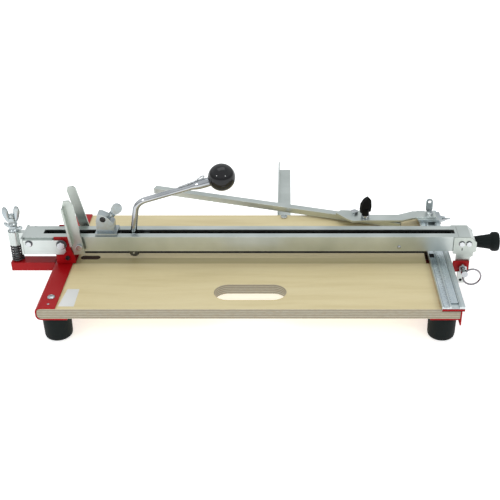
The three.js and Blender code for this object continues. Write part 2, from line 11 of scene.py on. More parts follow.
import bmesh
import bpy
import numpy as np
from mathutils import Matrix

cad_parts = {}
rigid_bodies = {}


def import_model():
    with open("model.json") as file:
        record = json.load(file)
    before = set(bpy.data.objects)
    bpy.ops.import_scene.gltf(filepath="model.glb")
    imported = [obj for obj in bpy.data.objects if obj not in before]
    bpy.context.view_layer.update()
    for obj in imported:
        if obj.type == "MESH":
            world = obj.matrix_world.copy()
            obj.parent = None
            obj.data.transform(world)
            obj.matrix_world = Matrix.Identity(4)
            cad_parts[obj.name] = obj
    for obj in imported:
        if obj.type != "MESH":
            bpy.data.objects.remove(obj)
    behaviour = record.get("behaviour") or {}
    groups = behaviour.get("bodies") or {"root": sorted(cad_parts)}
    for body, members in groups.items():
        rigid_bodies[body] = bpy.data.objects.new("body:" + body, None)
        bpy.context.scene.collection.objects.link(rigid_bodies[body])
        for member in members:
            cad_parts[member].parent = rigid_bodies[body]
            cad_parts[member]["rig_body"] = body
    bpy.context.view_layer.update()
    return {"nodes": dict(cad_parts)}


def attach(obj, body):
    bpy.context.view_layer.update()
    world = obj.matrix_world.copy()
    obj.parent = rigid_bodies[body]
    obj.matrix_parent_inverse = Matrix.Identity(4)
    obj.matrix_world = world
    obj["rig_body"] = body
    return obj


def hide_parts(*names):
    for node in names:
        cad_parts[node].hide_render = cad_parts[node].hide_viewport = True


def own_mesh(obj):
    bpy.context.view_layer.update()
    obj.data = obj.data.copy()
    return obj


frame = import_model()
MM = 0.001

# Places that several pieces share, in millimetres.
FLOOR_Z = -60
FOOT_X, FOOT_Y = 273.5, 114
TENSION_X = -353
RAIL_Y = 17
BALL = (-41, 0, 134)
WHEEL_X = -177
LEVER_PIN = (WHEEL_X, 0, 33)
PIVOT_X, PIVOT_Z = -279, 35
THREAD_TURNS, THREAD_RADIUS = 78, 3.75
SPRING_TURNS = 6.5
BALL_RADIUS = 20


# ------------------------------------------------------------------ node helpers
def put(tree, kind, values=None, **settings):
    """A shader node with its settings, whose inputs are numbers or links from other sockets."""
    node = tree.nodes.new("ShaderNode" + kind)
    for key, value in settings.items():
        setattr(node, key, value)
    for key, value in (values or {}).items():
        if isinstance(value, bpy.types.NodeSocket):
            tree.links.new(value, node.inputs[key])
        else:
            node.inputs[key].default_value = value
    return node


def sums(tree, operation, a, b=0.5, c=0.5):
    """The output of one Math node."""
    return put(tree, "Math", {0: a, 1: b, 2: c}, operation=operation).outputs[0]


def tinted(tree, factor, a, b, mode="MIX"):
    """The colour output of a Mix node between two colours."""
    node = tree.nodes.new("ShaderNodeMix")
    node.data_type = "RGBA"
    node.blend_type = mode
    for index, value in ((0, factor), (6, a), (7, b)):
        if isinstance(value, bpy.types.NodeSocket):
            tree.links.new(value, node.inputs[index])
        else:
            node.inputs[index].default_value = value if index == 0 else (*value, 1)
    return node.outputs[2]


def ramp(tree, factor, stops):
    """The colour output of a Color Ramp with [place, colour] stops."""
    node = put(tree, "ValToRGB", {0: factor})
    line = node.color_ramp.elements
    while len(line) < len(stops):
        line.new(0.5)
    for mark, (place, colour) in zip(line, stops):
        mark.position = place
        mark.color = (*colour, 1) if hasattr(colour, "__len__") else (colour, colour, colour, 1)
    return node.outputs[0]


def effect(name, inputs, outputs):
    """A shader node group with named inputs and outputs, with its two end nodes."""
    tree = bpy.data.node_groups.new(name, "ShaderNodeTree")
    for label, kind, value in inputs:
        made = tree.interface.new_socket(label, in_out="INPUT", socket_type="NodeSocket" + kind)
        if value is not None:
            made.default_value = value
    for label, kind in outputs:
        tree.interface.new_socket(label, in_out="OUTPUT", socket_type="NodeSocket" + kind)
    start = tree.nodes.new("NodeGroupInput").outputs
    end = tree.nodes.new("NodeGroupOutput").inputs
    return tree, start, end


def use(tree, group, **values):
    """A group placed in a tree, by input names with _ for a space."""
    node = tree.nodes.new("ShaderNodeGroup")
    node.node_tree = group
    for key, value in values.items():
        socket = node.inputs[key.replace("_", " ")]
        if isinstance(value, bpy.types.NodeSocket):
            tree.links.new(value, socket)
        else:
            socket.default_value = value
    return node.outputs


def make_edge_wear():
    """Where a rounded-off normal parts from the true one, broken up by noise, lies a worn edge."""
    tree, start, end = effect(
        "edge wear",
        [("Vector", "Vector", None), ("Radius", "Float", 0.0008), ("Breakup", "Float", 260)],
        [("Edge", "Float")])
    soft = put(tree, "Bevel", {"Radius": start["Radius"]}, samples=4)
    true = put(tree, "NewGeometry")
    agree = put(tree, "VectorMath", {0: soft.outputs[0], 1: true.outputs["Normal"]},
        operation="DOT_PRODUCT")
    part = sums(tree, "MULTIPLY", sums(tree, "SUBTRACT", 1.0, agree.outputs["Value"]), 5.0)
    speck = put(tree, "TexNoise",
        {"Vector": start["Vector"], "Scale": start["Breakup"], "Detail": 3.0})
    broken = ramp(tree, speck.outputs[0], [(0.42, 0), (0.6, 1)])
    tree.links.new(sums(tree, "MULTIPLY", part, broken), end["Edge"])
    return tree


def make_streaks():
    """Noise stretched along one axis, as drawing and brushing marks, with a broad soft cloud."""
    tree, start, end = effect(
        "streaks",
        [("Vector", "Vector", None), ("Stretch", "Vector", (20, 900, 900)), ("Cloud", "Float", 14)],
        [("Line", "Float"), ("Cloud", "Float")])
    drawn = put(tree, "VectorMath", {0: start["Vector"], 1: start["Stretch"]}, operation="MULTIPLY")
    line = put(tree, "TexNoise", {"Vector": drawn.outputs[0], "Scale": 1.0, "Detail": 4.0,
        "Roughness": 0.65})
    cloud = put(tree, "TexNoise",
        {"Vector": start["Vector"], "Scale": start["Cloud"], "Detail": 3.0})
    tree.links.new(line.outputs[0], end["Line"])
    tree.links.new(cloud.outputs[0], end["Cloud"])
    return tree


def make_spangle():
    """Voronoi cells each with its own shade, as the crystals of a zinc coat."""
    tree, start, end = effect(
        "zinc spangle", [("Vector", "Vector", None), ("Scale", "Float", 300)], [("Shade", "Float")])
    cells = put(tree, "TexVoronoi", {"Vector": start["Vector"], "Scale": start["Scale"]})
    split = put(tree, "SeparateColor", {0: cells.outputs["Color"]})
    tree.links.new(split.outputs[0], end["Shade"])
    return tree


def make_birch_face():
    """Long pale figure: noise stretched along the board and bent by a slower noise, with pores."""
    tree, start, end = effect("birch face", [("Vector", "Vector", None)],
        [("Color", "Color"), ("Height", "Float")])
    bend = put(tree, "TexNoise", {"Vector": start["Vector"], "Scale": 3.0, "Detail": 2.0})
    shift = put(tree, "VectorMath", {0: bend.outputs["Color"], 1: (0.03, 0.05, 0)},
        operation="MULTIPLY")
    bent = put(tree, "VectorMath", {0: start["Vector"], 1: shift.outputs[0]}, operation="ADD")
    long = put(tree, "VectorMath", {0: bent.outputs[0], 1: (5, 60, 5)}, operation="MULTIPLY")
    figure = put(tree, "TexNoise", {"Vector": long.outputs[0], "Scale": 1.0, "Detail": 5.0,
        "Roughness": 0.55})
    fine = put(tree, "VectorMath", {0: bent.outputs[0], 1: (70, 1500, 70)}, operation="MULTIPLY")
    pores = put(tree, "TexNoise", {"Vector": fine.outputs[0], "Scale": 1.0, "Detail": 2.0})
    body = ramp(tree, figure.outputs[0], [
        (0.32, (0.60, 0.495, 0.265)), (0.48, (0.645, 0.54, 0.30)), (0.66, (0.67, 0.57, 0.33))])
    specks = ramp(tree, pores.outputs[0], [(0.34, 1), (0.44, 0)])
    pored = tinted(tree, specks, body, (0.52, 0.42, 0.23))
    mild = tinted(tree, 0.25, body, pored)
    tree.links.new(mild, end["Color"])
    tree.links.new(pores.outputs[0], end["Height"])
    return tree


def make_ply_layers():
    """Bands across the thickness: the height over one ply, wavered by noise, picks dark or pale."""
    tree, start, end = effect(
        "ply layers", [("Vector", "Vector", None), ("Ply", "Float", 0.00146)],
        [("Color", "Color"), ("Height", "Float")])
    waver = put(tree, "TexNoise", {"Vector": start["Vector"], "Scale": 22.0, "Detail": 3.0})
    axes = put(tree, "SeparateXYZ", {0: start["Vector"]})
    off = sums(tree, "MULTIPLY", sums(tree, "SUBTRACT", waver.outputs[0], 0.5), 0.0009)
    place = sums(tree, "DIVIDE", sums(tree, "ADD", axes.outputs["Z"], off), start["Ply"])
    band = sums(tree, "PINGPONG", place, 1.0)
    fibre = put(tree, "VectorMath", {0: start["Vector"], 1: (160, 160, 1300)}, operation="MULTIPLY")
    grit = put(tree, "TexNoise", {"Vector": fibre.outputs[0], "Scale": 1.0, "Detail": 3.0})
    layers = ramp(tree, band, [(0.3, (0.2, 0.175, 0.125)), (0.5, (0.36, 0.325, 0.24)),
        (0.75, (0.43, 0.39, 0.29))])
    grain = ramp(tree, grit.outputs[0], [(0.35, 0.5), (0.55, 0)])
    tree.links.new(tinted(tree, grain, layers, (0.3, 0.22, 0.13)), end["Color"])
    tree.links.new(band, end["Height"])
    return tree


EDGE_WEAR = make_edge_wear()
STREAKS = make_streaks()
SPANGLE = make_spangle()
BIRCH_FACE = make_birch_face()
PLY_LAYERS = make_ply_layers()


def material(name, **sockets):
    """A new material: its tree, its shader's inputs and the Object coordinates."""
    made = bpy.data.materials.new(name)
    made.use_nodes = True
    tree = made.node_tree
    shader = tree.nodes["Principled BSDF"]
    for key, value in sockets.items():
        shader.inputs[key.replace("_", " ")].default_value = value
    where = put(tree, "TexCoord")
    return made, tree, shader.inputs, where.outputs["Object"]


def bumped(tree, inputs, height, distance, strength=1.0):
    """Feeds a height through a Bump node into the shader's normal."""
    bump = put(tree, "Bump", {"Height": height, "Distance": distance, "Strength": strength})
    tree.links.new(bump.outputs[0], inputs["Normal"])


# ------------------------------------------------------------------ finishes
def plywood(name, painted_front_shade):
    """Birch plywood: layers on its sides, figure on its faces, painted shade on slopes to the
    front.
    """
    made, tree, inputs, where = material(name, Coat_Weight=0.18, Coat_Roughness=0.3)
    face = use(tree, BIRCH_FACE, Vector=where)
    side = use(tree, PLY_LAYERS, Vector=where)
    turn = put(tree, "SeparateXYZ", {0: put(tree, "TexCoord").outputs["Normal"]})
    upright = ramp(tree, sums(tree, "ABSOLUTE", turn.outputs["Z"]), [(0.55, 0), (0.8, 1)])
    lean = sums(tree, "MULTIPLY_ADD", turn.outputs["Y"], -1.0, 0.5)
    lean = ramp(tree, lean, [(0.52, 0), (0.56, 1)])
    front_painted_shade = sums(tree, "MULTIPLY", lean, painted_front_shade)
    # Painted shade: faces that lean to the front are mixed toward dark olive by the given share.
    board = tinted(tree, front_painted_shade, face["Color"], (0.36, 0.31, 0.15))
    tree.links.new(tinted(tree, upright, side["Color"], board), inputs["Base Color"])
    inputs["Roughness"].default_value = 0.48
    bumped(tree, inputs, face["Height"], 0.00008, 0.6)
    return made


def metal(name, colour, dark, rough, stretch, spread=0.12, spangle=0.0, bump=0.00002, clean=0.75):
    """Metal with drawn streaks, a cloudy tint, brighter worn edges and, for zinc, its spangle."""
    made, tree, inputs, where = material(name, Metallic=1.0)
    marks = use(tree, STREAKS, Vector=where, Stretch=stretch)
    wear = use(tree, EDGE_WEAR, Vector=where)
    cloud = ramp(tree, marks["Cloud"], [(0.35, 0), (0.7, 1)])
    base = tinted(tree, cloud, colour, dark)
    base = tinted(tree, sums(tree, "MULTIPLY", marks["Line"], 1 - clean), base, dark)
    if spangle:
        cells = use(tree, SPANGLE, Vector=where)
        share = sums(tree, "MULTIPLY", cells["Shade"], spangle)
        base = tinted(tree, share, base, (0.42, 0.5, 0.56))
    bright = tuple(min(1.0, value * 1.15 + 0.05) for value in colour)
    tree.links.new(tinted(tree, wear["Edge"], base, bright), inputs["Base Color"])
    tree.links.new(sums(tree, "MULTIPLY_ADD", marks["Line"], spread, rough - spread / 2),
        inputs["Roughness"])
    bumped(tree, inputs, marks["Line"], bump, 0.5)
    return made


def painted(name, colour, worn, rough, coat, orange_peel, shine=0.5):
    """Paint with a faint orange-peel bump, a cloudy shade and rubbed edges."""
    made, tree, inputs, where = material(
        name, Coat_Weight=coat, Coat_Roughness=0.12, Specular_IOR_Level=shine)
    marks = use(tree, STREAKS, Vector=where, Stretch=(400, 400, 400), Cloud=9.0)
    wear = use(tree, EDGE_WEAR, Vector=where, Radius=0.0006)
    shade = tuple(value * 0.8 for value in colour)
    base = tinted(tree, ramp(tree, marks["Cloud"], [(0.35, 0), (0.7, 1)]), colour, shade)
    tree.links.new(tinted(tree, sums(tree, "MULTIPLY", wear["Edge"], 0.5), base, worn),
        inputs["Base Color"])
    tree.links.new(sums(tree, "MULTIPLY_ADD", marks["Line"], 0.12, rough - 0.06),
        inputs["Roughness"])
    bumped(tree, inputs, marks["Line"], orange_peel, 0.6)
    return made


PLYWOOD = plywood("birch plywood", 0.0)
RIDGE_WOOD_PAINTED_SHADE = plywood("ridge plywood with painted shade", 0.75)
RED = painted("red powder coat", (0.36, 0.0025, 0.005), (0.44, 0.03, 0.025), 0.38, 0.06, 0.00004,
    0.16)
ALUMINIUM = metal("extruded aluminium", (0.60, 0.64, 0.62), (0.42, 0.46, 0.44), 0.33,
    (12, 1400, 1400))
CROSSWISE = metal("ruler aluminium", (0.70, 0.74, 0.73), (0.48, 0.53, 0.53), 0.32, (1400, 12, 1400),
    spangle=0.4)
# Upright parts take a darker copy of the aluminium with up-and-down sawing streaks; the darker
# colour is painted shade.
UPRIGHT_PAINTED_SHADE_ALUMINIUM = metal("sawn aluminium with painted shade", (0.50, 0.54, 0.5), (0.36, 0.4, 0.37), 0.34, (1000, 1000, 40))
STEEL = metal("bright steel", (0.62, 0.64, 0.65), (0.36, 0.38, 0.4), 0.22, (500, 500, 500))
ZINC = metal("zinc casting", (0.52, 0.55, 0.54), (0.3, 0.33, 0.33), 0.3, (300, 300, 300),
    spangle=0.5, bump=0.00005)
SCALE_STEEL = metal("scale steel", (0.70, 0.75, 0.76), (0.46, 0.52, 0.55), 0.28, (900, 30, 900),
    spangle=0.45)
CHROME = metal("polished chrome", (0.56, 0.57, 0.59), (0.3, 0.32, 0.34), 0.08, (200, 200, 200),
    spread=0.04, bump=0.000004)
# Dark ground carbide for the wheel and its fork, used also for rings of painted shadow under bolt
# heads.
CARBIDE_AND_PAINTED_SHADE = metal("ground carbide and painted shade", (0.16, 0.165, 0.175), (0.08, 0.085, 0.09), 0.28, (600, 600, 600))
BLACK = painted("gloss black", (0.005, 0.005, 0.006), (0.011, 0.011, 0.012), 0.1, 0.15, 0.000006,
    0.32)
RUBBER = painted("matt rubber", (0.006, 0.0095, 0.009), (0.014, 0.018, 0.017), 0.6, 0.0, 0.00008,
    0.12)
SPRING_BLACK = painted("blackened spring steel", (0.012, 0.012, 0.013), (0.14, 0.14, 0.14), 0.3,
    0.2, 0.00001)
MATT_BLACK = painted("matt black plastic", (0.004, 0.0045, 0.005), (0.012, 0.012, 0.012), 0.45, 0.0,
    0.00002, 0.12)
RING_STEEL = metal("ring wire", (0.36, 0.34, 0.36), (0.1, 0.1, 0.11), 0.18, (300, 300, 300),
    spread=0.06, clean=0.4)
PAPER = painted("plain paper", (0.70, 0.70, 0.68), (0.8, 0.8, 0.78), 0.6, 0.0, 0.00002)
# Dark brown used as painted shade inside the wheel's pocket.
POCKET_PAINTED_SHADE = painted("pocket painted shade", (0.045, 0.022, 0.012), (0.07, 0.04, 0.02), 0.6, 0.0, 0.00002,
    0.1)
# Black for engraved marks and print, used also for sheets and discs of painted shade.
INK_AND_PAINTED_SHADE = painted("engraved black and painted shade", (0.012, 0.012, 0.014), (0.02, 0.02, 0.02), 0.6, 0.0, 0.00001, 0.08)


# ------------------------------------------------------------------ shells
def loft(grid, ends=True, ring=False):
    """Faces over a grid of points, rows along and columns round, closed at its ends or a ring."""
    rows, columns = grid.shape[:2]
    index = np.arange(rows * columns).reshape(rows, columns)
    across = np.roll(index, -1, axis=1)
    if ring:
        ahead, ahead_across = np.roll(index, -1, axis=0), np.roll(across, -1, axis=0)
        quads = np.stack([index, across, ahead_across, ahead], axis=-1).reshape(-1, 4)
    else:
        quads = np.stack([index[:-1], across[:-1], across[1:], index[1:]], axis=-1).reshape(-1, 4)
    faces = quads.tolist()
    if ends and not ring:
        faces += [index[0][::-1].tolist(), index[-1].tolist()]
    return grid.reshape(-1, 3), faces


def unit(vectors):
    """Each vector divided by its own length."""
    return vectors / np.linalg.norm(vectors, axis=-1, keepdims=True)


def tube(path, radius, up, sides=20, ring=False, flat=1.0):
    """A circle, or an ellipse by flat, carried square to a path: each point is the path's point
    plus the radius times the cosine of the angle along the side direction and its sine upwards."""
    path = np.asarray(path, float)
    if ring:
        ahead = np.roll(path, -1, axis=0) - np.roll(path, 1, axis=0)
    else:
        ahead = np.gradient(path, axis=0)
    ahead = unit(ahead)
    side = unit(np.cross(ahead, np.asarray(up, float)))
    over = np.cross(side, ahead)
    angle = np.linspace(0, 2 * np.pi, sides, endpoint=False)
    reach = np.broadcast_to(np.asarray(radius, float), (len(path),))[:, None, None]
    circle = np.cos(angle)[None, :, None] * side[:, None] * flat
    circle = circle + np.sin(angle)[None, :, None] * over[:, None]
    return loft(path[:, None] + reach * circle, ring=ring)


def turning(profile, centre, axis="z", sides=48, flutes=0, depth=0.0):
    """A profile of [radius, height] turned about an axis; flutes press the wall in by depth times a
    cosine of the angle, on the rows that the profile marks with a third number."""
    rows = np.array([(*row, 0.0)[:3] for row in profile], float)
    angle = np.linspace(0, 2 * np.pi, sides, endpoint=False)
    wave = depth * (0.5 - 0.5 * np.cos(flutes * angle))
    reach = np.maximum(rows[:, 0, None] - rows[:, 2, None] * wave[None], 1e-6)
    a, b = reach * np.cos(angle), reach * np.sin(angle)
    height = np.broadcast_to(rows[:, 1, None], a.shape)
    order = {"z": (a, b, height), "x": (height, a, b), "y": (b, height, a)}[axis]
    return loft(np.asarray(centre, float) + np.stack(order, axis=-1))


def plate(outline, low, high, axis="z"):
    """A flat outline carried from low to high along an axis: its points are the other two
    coordinates in x, y, z order."""
    flat = np.asarray(outline, float)
    levels = np.array([low, high], float)
    grid = np.empty((2, len(flat), 3))
    across = {"z": (0, 1, 2), "y": (0, 2, 1), "x": (1, 2, 0)}[axis]
    grid[:, :, across[0]] = flat[None, :, 0]
    grid[:, :, across[1]] = flat[None, :, 1]
    grid[:, :, across[2]] = levels[:, None]
    return loft(grid)


def block(low, high):
    """A plain block between two corners, for use inside a piece with rounded edges."""
    (x0, y0, z0), (x1, y1, z1) = low, high
    return plate([(x0, y0), (x1, y0), (x1, y1), (x0, y1)], z0, z1)


def rounded_box(width, depth, radius, steps=5):
    """The outline of a rectangle with round corners, about the origin."""
    angle = np.linspace(0, np.pi / 2, steps)
    corner = np.stack([np.cos(angle), np.sin(angle)], axis=-1) * radius
    turns = [(1, 1, 0), (-1, 1, 1), (-1, -1, 2), (1, -1, 3)]
    points = []
    for sx, sy, quarter in turns:
        c, s = math.cos(quarter * math.pi / 2), math.sin(quarter * math.pi / 2)
        turned = corner @ np.array([[c, s], [-s, c]])
        points.append(turned + [sx * (width / 2 - radius), sy * (depth / 2 - radius)])
    return np.concatenate(points)


def placed(shell, turn=(0, 0, 0), move=(0, 0, 0)):
    """A shell turned about X, then Y, then Z by degrees, and moved."""
    points, faces = shell
    spin = np.eye(3)
    for axis, degrees in enumerate(turn):
        c, s = math.cos(math.radians(degrees)), math.sin(math.radians(degrees))
        a, b = [(1, 2), (2, 0), (0, 1)][axis]
        step = np.eye(3)
        step[a, a], step[a, b], step[b, a], step[b, b] = c, -s, s, c
        spin = step @ spin
    return np.asarray(points) @ spin.T + np.asarray(move, float), faces


def piece(name, shells, finish, body, stands_for=(), rounding=0.0, steps=3, smooth=38):
    """One object from closed shells in millimetres, its sharp edges rounded over, on a body."""
    points, faces, count = [], [], 0
    for shell_points, shell_faces in shells:
        points.append(np.asarray(shell_points) * MM)
        faces += [[corner + count for corner in face] for face in shell_faces]
        count += len(shell_points)
    mesh = bpy.data.meshes.new(name)
    mesh.from_pydata(np.concatenate(points).tolist(), [], faces)
    return finished(name, mesh, finish, body, stands_for, rounding, steps, smooth)


def finished(name, mesh, finish, body, stands_for, rounding, steps, smooth):
    """Faces outwards, smooth shading up to an angle, the rounding, the finish and the body."""
    work = bmesh.new()
    work.from_mesh(mesh)
    bmesh.ops.recalc_face_normals(work, faces=work.faces)
    work.to_mesh(mesh)
    work.free()
    made = bpy.data.objects.new(name, mesh)
    bpy.context.scene.collection.objects.link(made)
    mesh.polygons.foreach_set("use_smooth", np.ones(len(mesh.polygons), bool))
    if rounding:
        bevel = made.modifiers.new("rounded edges", "BEVEL")
        bevel.width = rounding * MM
        bevel.segments = steps
        bevel.limit_method = "ANGLE"
        bevel.angle_limit = math.radians(30)
        bevel.harden_normals = True
    else:
        mesh.set_sharp_from_angle(angle=math.radians(smooth))
    mesh.materials.append(finish)
    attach(made, body)
    if stands_for:
        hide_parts(*stands_for)
    return made


def eased(node, finish, rounding=0.4, steps=2):
    """A CAD node's own shape, its loose triangles merged into flat faces and its edges rounded."""
    source = frame["nodes"][node]
    count = len(source.data.vertices)
    loose = np.empty(count * 3)
    source.data.vertices.foreach_get("co", loose)
    source.data.calc_loop_triangles()
    corners = np.empty(len(source.data.loop_triangles) * 3, np.int32)
    source.data.loop_triangles.foreach_get("vertices", corners)
    _, first, merged = np.unique(
        np.round(loose.reshape(-1, 3), 6), axis=0, return_index=True, return_inverse=True)
    triangles = merged.reshape(-1)[corners].reshape(-1, 3)
    whole = (triangles[:, 0] != triangles[:, 1]) & (triangles[:, 1] != triangles[:, 2])
    whole &= triangles[:, 0] != triangles[:, 2]
    mesh = bpy.data.meshes.new(node + "_eased")
    mesh.from_pydata(loose.reshape(-1, 3)[first].tolist(), [], triangles[whole].tolist())
    work = bmesh.new()
    work.from_mesh(mesh)
    bmesh.ops.dissolve_limit(work, angle_limit=math.radians(0.6), verts=work.verts,
        edges=work.edges)
    work.to_mesh(mesh)
    work.free()
    return finished(node + "_eased", mesh, finish, source["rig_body"], (node,), rounding,
        steps, 38)


# ------------------------------------------------------------------ beds and channels
def beds():
    """The two boards and the ridge from their solids; the seal strip and the wheel's pocket between
    them are a stepped bar and a long round-ended plate, the plate a dark fill of painted shade."""
    for node in ("front_board", "rear_board"):
        eased(node, PLYWOOD, 0.5)
    # The ridge carries painted shade on its front slope, where the rail shades it.
    eased("breaking_ridge", RIDGE_WOOD_PAINTED_SHADE, 0.3)
    strip = [
        block((-266, 15.2, -16), (261.9, 20.8, -1)),
        block((-266, 13.4, -1.1), (261.9, 21.1, 0.3))]
    piece("joint_seal_strip", strip, INK_AND_PAINTED_SHADE, "base", ("joint_seal",))
    for node in ("end_channel_left", "end_channel_right"):
        eased(node, RED, 0.3)
    # A dark brown plate fills the wheel's pocket nearly to its top: painted shade for the recess.
    pocket = rounded_box(29.4, 10, 4.9, 9) + [-244, 0.4]
    piece("wheel_pocket_painted_shade", [plate(pocket, -8.9, -0.6)], POCKET_PAINTED_SHADE, "base")
    # A plain paper label near the left channel.
    sheet = plate([(-264.5, -132), (-242.5, -132), (-243.5, -87.5), (-260.5, -87.5)], -0.99, -0.86)
    piece("paper_label", [sheet], PAPER, "base")


PAN_HEAD = [(5.4, 0), (5.4, 0.7), (4.9, 1.6), (3.8, 2.2), (2.6, 2.4), (2.4, 1.2)]


def base_fasteners():
    """The screws through the channels into the feet, seen from above and from below."""
    screws = []
    stud = [(1.7, 0), (1.7, 0.5), (0.6, 0.9)]
    for y in (-112, 112):
        screws.append(turning(PAN_HEAD, (-278, y, 1.3)))
        screws.append(turning(stud, (-278, y * 1.16, 1.3), sides=20))
    piece("channel_screws", screws, STEEL, "base")
    under = []
    washer = [(3, 0), (5.6, 0), (5.8, 0.3), (5.6, 0.6), (3, 0.6)]
    head = [(2.2, 0.6), (2.2, 1.9), (3.6, 0.9), (3.9, 0)]
    for x in (-FOOT_X, FOOT_X):
        for y in (-FOOT_Y, FOOT_Y):
            recess = (x, y, FLOOR_Z + 6.3)
            under.append(turning(washer, recess))
            under.append(placed(turning(head, (0, 0, 0)), (180, 0, 0), recess))
    piece("foot_screws", under, STEEL, "base")
    socket = turning([(1.6, 0.4), (1.6, 2.6), (3.1, 2.6), (3.4, 2.2), (3.4, 0)], (0, 0, 0),
        sides=36)
    socket = placed(socket, (90, 0, 0), (-273, -19.6, 11.4))
    piece("yoke_screw", [socket], SPRING_BLACK, "base")


def feet():
    """Turned rubber feet with a rounded rim, a moulded band and a screw recess."""
    profile = [
        (0.5, 6.9), (6.0, 6.9), (6.4, 6.2), (6.4, 0.5), (7, 0), (15.4, 0), (17.4, 0.5), (18.7, 1.8),
        (19.3, 3.6), (19.6, 6), (19.9, 22), (20, 32), (20, 39.6), (19.6, 40.1), (0.5, 40.1)]
    for row, sy in (("front", -1), ("rear", 1)):
        for end, sx in (("left", -1), ("right", 1)):
            node = f"foot_{row}_{end}"
            shell = turning(profile, (sx * FOOT_X, sy * FOOT_Y, FLOOR_Z), sides=72)
            piece(node + "_rubber", [shell], RUBBER, "base", (node,), smooth=50)


# ------------------------------------------------------------------ pivot and tension
def wing(reach, rise, low, thick, root, half):
    """One ear: an ellipse carried along a quadratic bend from the hub up to the tip, widening to a
    paddle and closing in a half round."""
    share = np.linspace(0, 1, 28)
    x = root * (1 - share) ** 2 + 2 * share * (1 - share) * reach + reach * share ** 2
    middle = low + 0.2 * (rise - low)
    z = low * (1 - share) ** 2 + 2 * share * (1 - share) * middle + rise * share ** 2
    path = np.stack([x, np.zeros_like(x), z], axis=-1)
    swell = np.interp(share, [0, 0.35, 0.7, 1], [0.72, 0.8, 1, 0.95])
    width = half * swell * np.sqrt(np.clip(1 - np.clip((share - 0.7) / 0.3, 0, 1) ** 2, 0.004, 1))
    ahead = unit(np.gradient(path, axis=0))
    over = np.stack([-ahead[:, 2], np.zeros_like(x), ahead[:, 0]], axis=-1)
    angle = np.linspace(0, 2 * np.pi, 20, endpoint=False)
    deep = (thick / 2) * np.sqrt(np.clip(1 - share ** 10, 0.02, 1))
    ring = np.cos(angle)[None, :, None] * over[:, None] * width[:, None, None]
    ring[:, :, 1] += np.sin(angle)[None, :] * deep[:, None]
    return loft(path[:, None] + ring)


def wing_nut(radius, height, bore, ear):
    """A hub with a collar and two ears."""
    hub = turning([
        (bore, 0), (radius, 0), (radius, 1.2), (radius * 0.9, 1.8), (radius * 0.78, height * 0.7),
        (radius * 0.74, height), (bore, height), (bore, height / 2)], (0, 0, 0), sides=40)
    return [hub, ear, placed(ear, (0, 0, 180))]


def moved(shells, *moves):
    """Shells turned and moved by each (turn, move) in order."""
    for turn, move in moves:
        shells = [placed(shell, turn, move) for shell in shells]
    return shells


def pivot_and_tension():
    """The red yoke and arm, and the threaded rod with its coil spring and two wing nuts."""
    eased("pivot_yoke", RED, 0.5)
    eased("tension_arm", RED, 0.9, 3)
    eased("rail_pivot_bolt", STEEL, 0.5)
    # The rod's thread is a fine ridge that climbs round it.
    turns = np.arange(0, THREAD_TURNS * 16) / 16
    angle = turns * 2 * np.pi
    across, deep = THREAD_RADIUS * np.cos(angle), THREAD_RADIUS * np.sin(angle)
    thread = np.stack([TENSION_X + across, deep, -4 + turns], axis=-1)
    rod = turning([
        (0.1, -14.7), (6.4, -14.7), (6.6, -14.2), (6.6, -6), (3.7, -5.4), (3.7, 73.4), (3.2, 74),
        (0.1, 74)], (TENSION_X, 0, 0), sides=32)
    piece("tension_rod_threaded", [rod, tube(thread, 0.28, (0, 0, 1), sides=4)], ZINC, "base",
        ("tension_rod",))
    # The spring is a wire round a rising circle, with flattened end turns.
    share = np.linspace(0, 1, 330)
    climb = np.interp(share, [0, 0.12, 0.88, 1], [0, 0.05, 0.95, 1])
    angle = share * 2 * np.pi * SPRING_TURNS
    across, deep = 7.9 * np.cos(angle), 7.9 * np.sin(angle)
    coil = np.stack([TENSION_X + across, deep, -1.1 + 24.2 * climb], axis=-1)
    spring = piece("tension_spring_coil", [tube(coil, 1.4, (0, 0, 1), sides=12)], SPRING_BLACK,
        "base", ("tension_spring",), smooth=60)
    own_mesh(spring)
    lower = moved(wing_nut(8, 8, 4.3, wing(14.6, 9.6, 4, 4.2, 5, 3.4)),
        ((0, 0, -24), (TENSION_X, 0, 47.6)))
    piece("tension_wing_nut_cast", lower, ZINC, "wing_nut", ("tension_wing_nut",),
        smooth=50)
    upper = moved(wing_nut(7, 11, 4.3, wing(8.4, 29.6, 6, 5, 4.2, 4.7)),
        ((0, 0, 12), (TENSION_X, 0, 57.6)))
    piece("lock_wing_nut_cast", upper, ZINC, "lock_nut", ("lock_wing_nut",), smooth=50)


